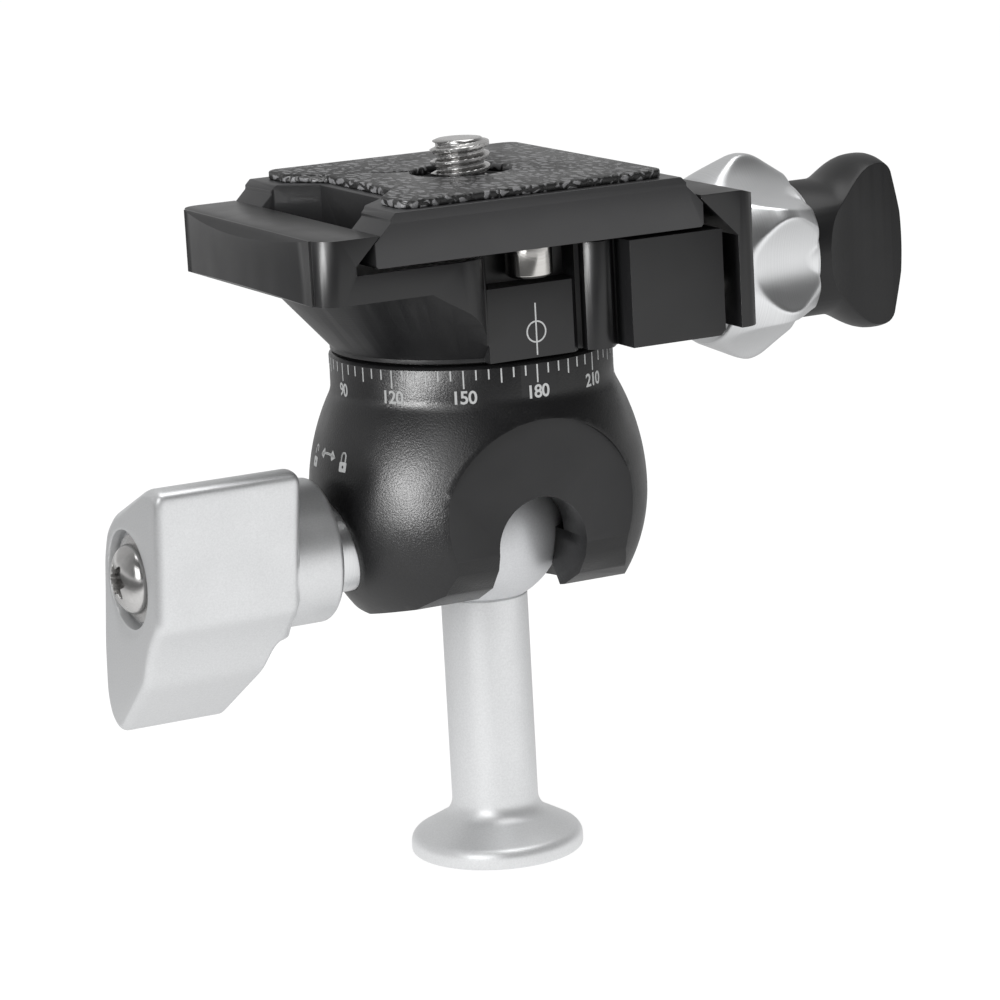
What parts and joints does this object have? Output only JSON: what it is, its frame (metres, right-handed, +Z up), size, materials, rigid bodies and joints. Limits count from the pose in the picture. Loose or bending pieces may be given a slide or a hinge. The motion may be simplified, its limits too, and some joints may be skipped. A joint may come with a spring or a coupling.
{
  "type": "tripod ball head",
  "caption": "Small inverted tripod ball head on a flared foot, with a locking lever, a panning quick release clamp, two coaxial knobs and a camera plate.",
  "frame": {"origin": "centre of the foot's base, on the stem's axis", "axes": "+Z up along the stem, towards the camera screw; -Y the front with the index mark and the drop notch; +X towards the two knobs, -X towards the locking lever"},
  "size_m": [0.0947, 0.0362, 0.078],
  "materials": {
    "foot_silver": "satin clear anodised",
    "ball_silver": "bead blasted, clear anodised",
    "lever_silver": "bead blasted, clear anodised",
    "ring_silver": "turned and milled, clear anodised",
    "housing_black": "bead blasted, black anodised",
    "clamp_black": "milled, black anodised, semi-gloss",
    "plate_black": "milled, black anodised",
    "knob_black": "turned, black anodised, satin",
    "hub_alloy": "turned",
    "black_steel": "black oxide",
    "stainless": "polished stainless",
    "turned_steel": "turned",
    "acetal": "moulded acetal",
    "rubber": "moulded, pebbled",
    "brass": "turned"
  },
  "bodies": {
    "stem": {"stem": "foot_silver", "thread_insert": "black_steel"},
    "ball": {"ball": "ball_silver"},
    "ball_cup": {"ball_cup": "acetal"},
    "housing": {"housing": "housing_black", "pan_hub": "hub_alloy", "lock_collar": "lever_silver", "pan_retainer": "hub_alloy", "pan_screw": "black_steel"},
    "ball_brake": {"brake_pad": "acetal"},
    "lock_lever": {"lock_spindle": "turned_steel", "lock_lever": "lever_silver", "lever_washer": "stainless", "lever_screw": "stainless"},
    "clamp": {"clamp_body": "clamp_black", "thrust_washer": "acetal", "spring_washer": "turned_steel"},
    "jaw": {"clamp_jaw": "clamp_black", "guide_pins": "stainless", "jaw_springs": "turned_steel", "jaw_washer": "acetal"},
    "jaw_knob": {"jaw_screw": "turned_steel", "jaw_knob": "ring_silver"},
    "pan_plug": {"pan_brake_plug": "brass"},
    "pan_knob": {"pan_lock_spindle": "turned_steel", "pan_lock_knob": "knob_black", "knob_end_screw": "black_steel"},
    "plate": {"plate": "plate_black", "rubber_pad": "rubber", "stop_pin": "stainless", "screw_clip": "black_steel"},
    "camera_screw": {"camera_screw": "stainless", "screw_d_ring": "stainless"}
  },
  "joints": [
    {"name": "ball_spin", "type": "hinge", "parent": "stem", "child": "ball", "pos_m": [0, 0, 0.03639], "axis": [0, 0, 1], "continuous": true},
    {"name": "ball_drop", "type": "hinge", "parent": "ball", "child": "ball_cup", "pos_m": [0, 0, 0.03639], "axis": [1, 0, 0], "range_deg": [-25, 90]},
    {"name": "ball_side", "type": "hinge", "parent": "ball_cup", "child": "housing", "pos_m": [0, 0, 0.03639], "axis": [0, 1, 0], "range_deg": [-20, 20]},
    {"name": "brake_slide", "type": "slide", "parent": "housing", "child": "ball_brake", "axis": [1, 0, 0], "range_m": [-0.000416, 0]},
    {"name": "lock_turn", "type": "hinge", "parent": "ball_brake", "child": "lock_lever", "pos_m": [0, 0, 0.03639], "axis": [1, 0, 0], "range_deg": [-120, 0]},
    {"name": "pan", "type": "hinge", "parent": "housing", "child": "clamp", "pos_m": [0, 0, 0.05649], "axis": [0, 0, 1], "continuous": true},
    {"name": "jaw_slide", "type": "slide", "parent": "clamp", "child": "jaw", "axis": [1, 0, 0], "range_m": [0, 0.004]},
    {"name": "jaw_knob_turn", "type": "hinge", "parent": "jaw", "child": "jaw_knob", "pos_m": [0, 0, 0.06129], "axis": [1, 0, 0], "range_deg": [0, 1440]},
    {"name": "pan_plug_slide", "type": "slide", "parent": "clamp", "child": "pan_plug", "axis": [1, 0, 0], "range_m": [0, 0.000525]},
    {"name": "pan_lock_turn", "type": "hinge", "parent": "pan_plug", "child": "pan_knob", "pos_m": [0, 0, 0.06129], "axis": [1, 0, 0], "range_deg": [0, 270]},
    {"name": "plate_slide", "type": "slide", "parent": "clamp", "child": "plate", "axis": [0, -1, 0], "range_m": [0, 0.045]},
    {"name": "camera_screw_turn", "type": "hinge", "parent": "plate", "child": "camera_screw", "pos_m": [0, 0, 0.06819], "axis": [0, 0, 1], "continuous": true}
  ],
  "couplings": [
    {"joint": "lock_turn", "follows": "brake_slide", "rad_per_m": 5026.5},
    {"joint": "jaw_knob_turn", "follows": "jaw_slide", "rad_per_m": 6283.2},
    {"joint": "pan_lock_turn", "follows": "pan_plug_slide", "rad_per_m": 8976}
  ]
}
